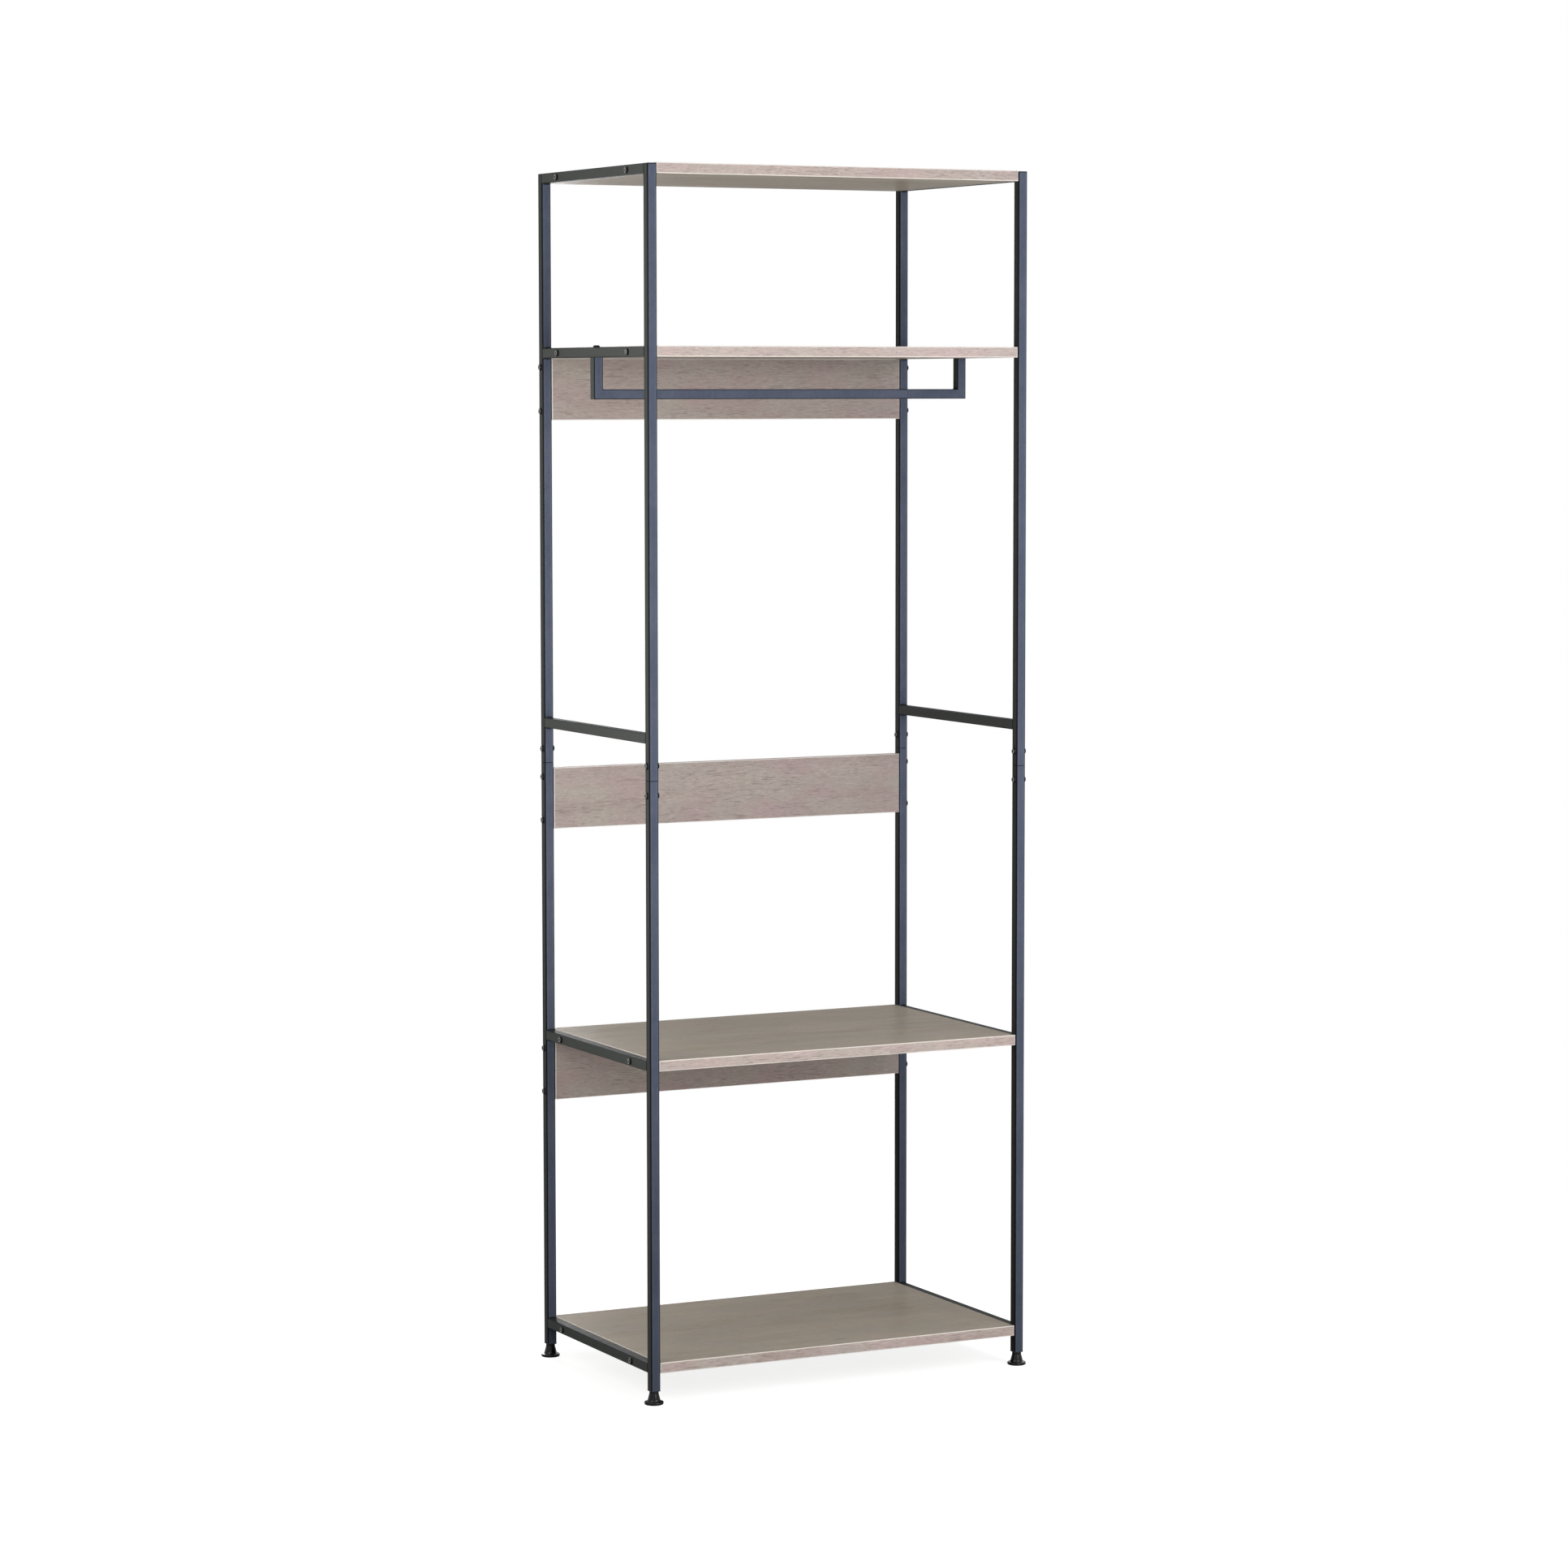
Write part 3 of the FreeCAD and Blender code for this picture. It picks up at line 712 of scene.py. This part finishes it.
def add_button_screw(points, faces, wear, seat, inward, length):
    """Button head screw with its head's underside on a seat and its shank along a direction."""
    start = len(points)
    turn_to = UP.rotation_difference(inward).to_matrix()
    # Radii, depths and wear, the wear also a painted highlight, from the tip of the shank, round
    # the head and into the socket.
    outline = [(SHANK_RADIUS - SCREW_TIP, length, 0), (SHANK_RADIUS, length - SCREW_TIP, 0),
               (SHANK_RADIUS, 0.0, 0), (HEAD_RADIUS - HEAD_BEVEL, 0.0, 0),
               (HEAD_RADIUS, -HEAD_BEVEL, 0), (HEAD_RADIUS, -HEAD_RIM, 0.1)]
    for step in range(1, CROWN_STEPS + 1):
        angle = math.radians(90) * step / CROWN_STEPS
        radius = CROWN_RADIUS + (HEAD_RADIUS - CROWN_RADIUS) * math.cos(angle)
        level = -HEAD_RIM - (HEAD_HEIGHT - HEAD_RIM) * math.sin(angle)
        outline.append((radius, level, max(0.0, 0.28 * (step - 5))))
    outline.append((SOCKET_MOUTH, -HEAD_HEIGHT, 0.9))
    rows = [([radius] * HEAD_SEGMENTS, level, wearing) for radius, level, wearing in outline]
    # The socket: a hexagon with a broken edge, straight sides and a drilled point below them.
    hexagon = []
    for number in range(HEAD_SEGMENTS):
        turn = math.radians(360 * number / HEAD_SEGMENTS % 60 - 30)
        hexagon.append(SOCKET_ACROSS_FLATS / 2 / math.cos(turn))
    rows.append(([radius + 0.12 * MM for radius in hexagon], -HEAD_HEIGHT + 0.02 * MM, 1.0))
    rows.append((hexagon, -HEAD_HEIGHT + 0.25 * MM, 0.5))
    rows.append((hexagon, -HEAD_HEIGHT + SOCKET_DEPTH, 0))
    rows.append(([SOCKET_POINT] * HEAD_SEGMENTS, -HEAD_HEIGHT + SOCKET_DEPTH + 0.35 * MM, 0))
    for radii, level, wearing in rows:
        for number, radius in enumerate(radii):
            turn = 2 * math.pi * number / HEAD_SEGMENTS
            spot = Vector((radius * math.cos(turn), radius * math.sin(turn), level))
            points.append(seat + turn_to @ spot)
            wear.append(wearing)
    for row in range(len(rows) - 1):
        below = start + row * HEAD_SEGMENTS
        above = below + HEAD_SEGMENTS
        for number in range(HEAD_SEGMENTS):
            after = (number + 1) % HEAD_SEGMENTS
            faces.append((below + number, below + after, above + after, above + number))
    faces.append(tuple(start + number for number in reversed(range(HEAD_SEGMENTS))))
    last = start + (len(rows) - 1) * HEAD_SEGMENTS
    faces.append(tuple(last + number for number in range(HEAD_SEGMENTS)))


def new_screws(name, node, seats, length):
    """One group of like screws, from their seats and the directions in which they are driven."""
    points = []
    faces = []
    wear = []
    for seat, inward in seats:
        add_button_screw(points, faces, wear, seat, inward, length)
    screws = new_piece(name, points, faces, black_steel, smooth=32)
    attribute = screws.data.attributes.new("wear_and_highlight", "FLOAT", "POINT")
    attribute.data.foreach_set("value", wear)
    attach(screws, "rack")
    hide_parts(node)


def middle_of(node):
    """Middle of a node's box."""
    low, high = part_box(node)
    return (low + high) / 2


LONG_SCREW = 30.0 * MM
SHORT_SCREW = 6.0 * MM
BAR_BOLT = 29.0 * MM
SHELF_SCREW_SPACING = 256.0 * MM
PANEL_SCREW_SPACING = 68.0 * MM
SPLICE_SCREW_OFFSET = 22.0 * MM
outer_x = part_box("front_right_upper_post")[1].x
inner_x = outer_x - TUBE
seam = (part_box("front_left_upper_post")[0].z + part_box("front_left_lower_post")[1].z) / 2
shelf_seats = []
panel_seats = []
splice_seats = []
for side, outward in SIDES.items():
    inward = Vector((-outward, 0, 0))
    for rail in ("top_rail", "upper_shelf_rail", "lower_shelf_rail", "bottom_shelf_rail"):
        z = middle_of(side + "_" + rail).z
        for step in (-1, 1):
            y = step * SHELF_SCREW_SPACING / 2
            shelf_seats.append((Vector((outward * outer_x, y, z)), inward))
    for panel in ("upper_back_panel", "middle_back_panel", "lower_back_panel"):
        middle = middle_of(panel + "_edging").z
        for step in (-1, 1):
            z = middle + step * PANEL_SCREW_SPACING / 2
            panel_seats.append((Vector((outward * outer_x, post_y, z)), inward))
    for end, backward in ENDS.items():
        for step in ((-1, 1) if end == "front" else (1,)):
            z = seam + step * SPLICE_SCREW_OFFSET
            splice_seats.append((Vector((outward * outer_x, backward * post_y, z)), inward))
            splice_seats.append((Vector((outward * inner_x, backward * post_y, z)), -inward))
new_screws("shelf_button_screws", "shelf_screws", shelf_seats, LONG_SCREW)
new_screws("panel_button_screws", "panel_screws", panel_seats, LONG_SCREW)
new_screws("splice_button_screws", "splice_screws", splice_seats, SHORT_SCREW)


# Hanging bar: one U of the frames' tube, mitred and welded at its corners. Nuts welded into the
# tops of its legs take two button head bolts, driven down through the upper shelf's rails.

for name in ("hanging_bar", "hanging_bar_left_leg", "hanging_bar_right_leg"):
    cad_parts[name].data.materials[0] = powder_coat
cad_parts["hanging_bar_nuts"].data.materials[0] = zinc
points = []
faces = []
for side, outward in SIDES.items():
    leg_low, leg_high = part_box("hanging_bar_" + side + "_leg")
    inner = leg_high.x if side == "left" else leg_low.x
    corner = Vector((inner, 0.0, bar_high.z))
    add_weld(points, faces, corner, Vector((0, 1, 0)), Vector((-outward, 0, 0)), UP,
             bar_high.y - bar_low.y - 2 * TUBE_CORNER, WELD_LEG, 3.1 * outward)
bar_welds = new_piece("hanging_bar_welds", points, faces, powder_coat, smooth=50)
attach(bar_welds, "rack")
bolt_seats = []
for side, outward in SIDES.items():
    rail_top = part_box(side + "_upper_shelf_rail")[1].z
    bolt_seats.append((Vector((outward * (outer_x - TUBE / 2), 0.0, rail_top)), -UP))
new_screws("hanging_bar_button_bolts", "hanging_bar_bolts", bolt_seats, BAR_BOLT)


# Studio: a white floor that keeps the rack's soft shadow and fades into a white surround. Large
# soft lamps stand in front, above, behind and on both sides. The camera looks from the front left.

WHITE = (1.0, 1.0, 1.0, 1.0)
FLOOR_RADIUS = 9.0
FLOOR_GREY = (0.60, 0.60, 0.60, 1.0)
FLOOR_LIFT = 0.75
FADE = (0.5, 2.2)
floor_mesh = bpy.data.meshes.new("studio_floor")
shape = bmesh.new()
bmesh.ops.create_circle(shape, cap_ends=True, radius=FLOOR_RADIUS, segments=96)
shape.to_mesh(floor_mesh)
shape.free()
studio_floor = bpy.data.objects.new("studio_floor", floor_mesh)
bpy.context.scene.collection.objects.link(studio_floor)
floor_finish, tree, shader = new_finish("studio_floor", Specular_IOR_Level=0.0, Roughness=0.9)
shader.inputs["Base Color"].default_value = FLOOR_GREY
away = add(tree, "VectorMath", {0: local_place(tree)}, operation="LENGTH").outputs["Value"]
seen = add(tree, "LightPath", {}).outputs["Is Camera Ray"]
lift = add(tree, "Emission", {"Color": WHITE, "Strength": product(tree, seen, FLOOR_LIFT)})
lifted = add(tree, "AddShader", {0: shader.outputs[0], 1: lift.outputs[0]})
white = add(tree, "Emission", {"Color": WHITE, "Strength": 1.0})
faded = product(tree, seen, spread(tree, away, *FADE, 0.35, 1.0))
blended = add(tree, "MixShader", {0: faded, 1: lifted.outputs[0], 2: white.outputs[0]})
tree.links.new(blended.outputs[0], tree.nodes["Material Output"].inputs[0])
floor_mesh.materials.append(floor_finish)

AMBIENT = 0.12
surround = bpy.data.worlds.new("white_surround")
surround.use_nodes = True
tree = surround.node_tree
rays = add(tree, "LightPath", {}).outputs
mirrored = calc(tree, "MAXIMUM", rays["Is Glossy Ray"], rays["Is Transmission Ray"])
shown = calc(tree, "MAXIMUM", rays["Is Camera Ray"], mirrored)
ambient = add(tree, "Background", {0: WHITE, 1: AMBIENT})
background = add(tree, "Background", {0: WHITE, 1: 1.0})
blended = add(tree, "MixShader", {0: shown, 1: ambient.outputs[0], 2: background.outputs[0]})
tree.links.new(blended.outputs[0], tree.nodes["World Output"].inputs[0])
bpy.context.scene.world = surround


def add_lamp(name, place, target, size, power, colour):
    """Square soft lamp that points at a target and isn't seen itself."""
    lamp = bpy.data.lights.new(name, "AREA")
    lamp.shape = "SQUARE"
    lamp.size = size
    lamp.energy = power
    lamp.color = colour
    stand = bpy.data.objects.new(name, lamp)
    stand.location = place
    stand.rotation_mode = "QUATERNION"
    stand.rotation_quaternion = (Vector(target) - Vector(place)).to_track_quat("-Z", "Y")
    stand.visible_camera = False
    bpy.context.scene.collection.objects.link(stand)


add_lamp("front_lamp", (0.5, -1.8, 1.45), (0.0, 0.0, 1.1), 1.4, 23.5, (0.97, 0.99, 1.0))
add_lamp("low_lamp", (0.5, -3.4, 0.45), (0.0, 0.0, 0.6), 0.9, 30.0, (1.0, 0.99, 0.97))
add_lamp("overhead_lamp", (0.3, 0.0, 4.4), (0.0, 0.0, 1.0), 2.4, 42.0, (1.0, 1.0, 1.0))
add_lamp("left_lamp", (-1.3, -0.6, 1.35), (0.0, 0.0, 1.1), 1.2, 13.0, (1.0, 0.99, 0.94))
add_lamp("right_lamp", (2.1, 0.8, 1.0), (0.0, 0.0, 0.9), 1.5, 11.0, (1.0, 1.0, 0.99))
add_lamp("back_lamp", (0.37, 3.2, 1.0), (0.0, 0.0, 0.9), 1.3, 50.0, (1.0, 1.0, 1.0))

CAMERA_PLACE = (-3.1668, -6.3129, 1.5170)
CAMERA_YAW = 0.4654
CAMERA_PITCH = -0.0861
CAMERA_ROLL = -0.0009
camera = bpy.data.cameras.new("camera")
camera.lens = 104.84
camera.sensor_width = 36.0
camera.sensor_fit = "HORIZONTAL"
camera.clip_end = 200.0
level_ahead = Vector((math.sin(CAMERA_YAW), math.cos(CAMERA_YAW), 0.0))
ahead = level_ahead * math.cos(CAMERA_PITCH) + UP * math.sin(CAMERA_PITCH)
rightward = Vector((math.cos(CAMERA_YAW), -math.sin(CAMERA_YAW), 0.0))
upward = rightward.cross(ahead)
rolled_right = rightward * math.cos(CAMERA_ROLL) + upward * math.sin(CAMERA_ROLL)
rolled_up = upward * math.cos(CAMERA_ROLL) - rightward * math.sin(CAMERA_ROLL)
tripod = bpy.data.objects.new("camera", camera)
bpy.context.scene.collection.objects.link(tripod)
axes = Matrix((rolled_right, rolled_up, -ahead)).transposed()
tripod.matrix_world = Matrix.Translation(CAMERA_PLACE) @ axes.to_4x4()
bpy.context.scene.camera = tripod
bpy.context.scene.view_settings.view_transform = "Standard"
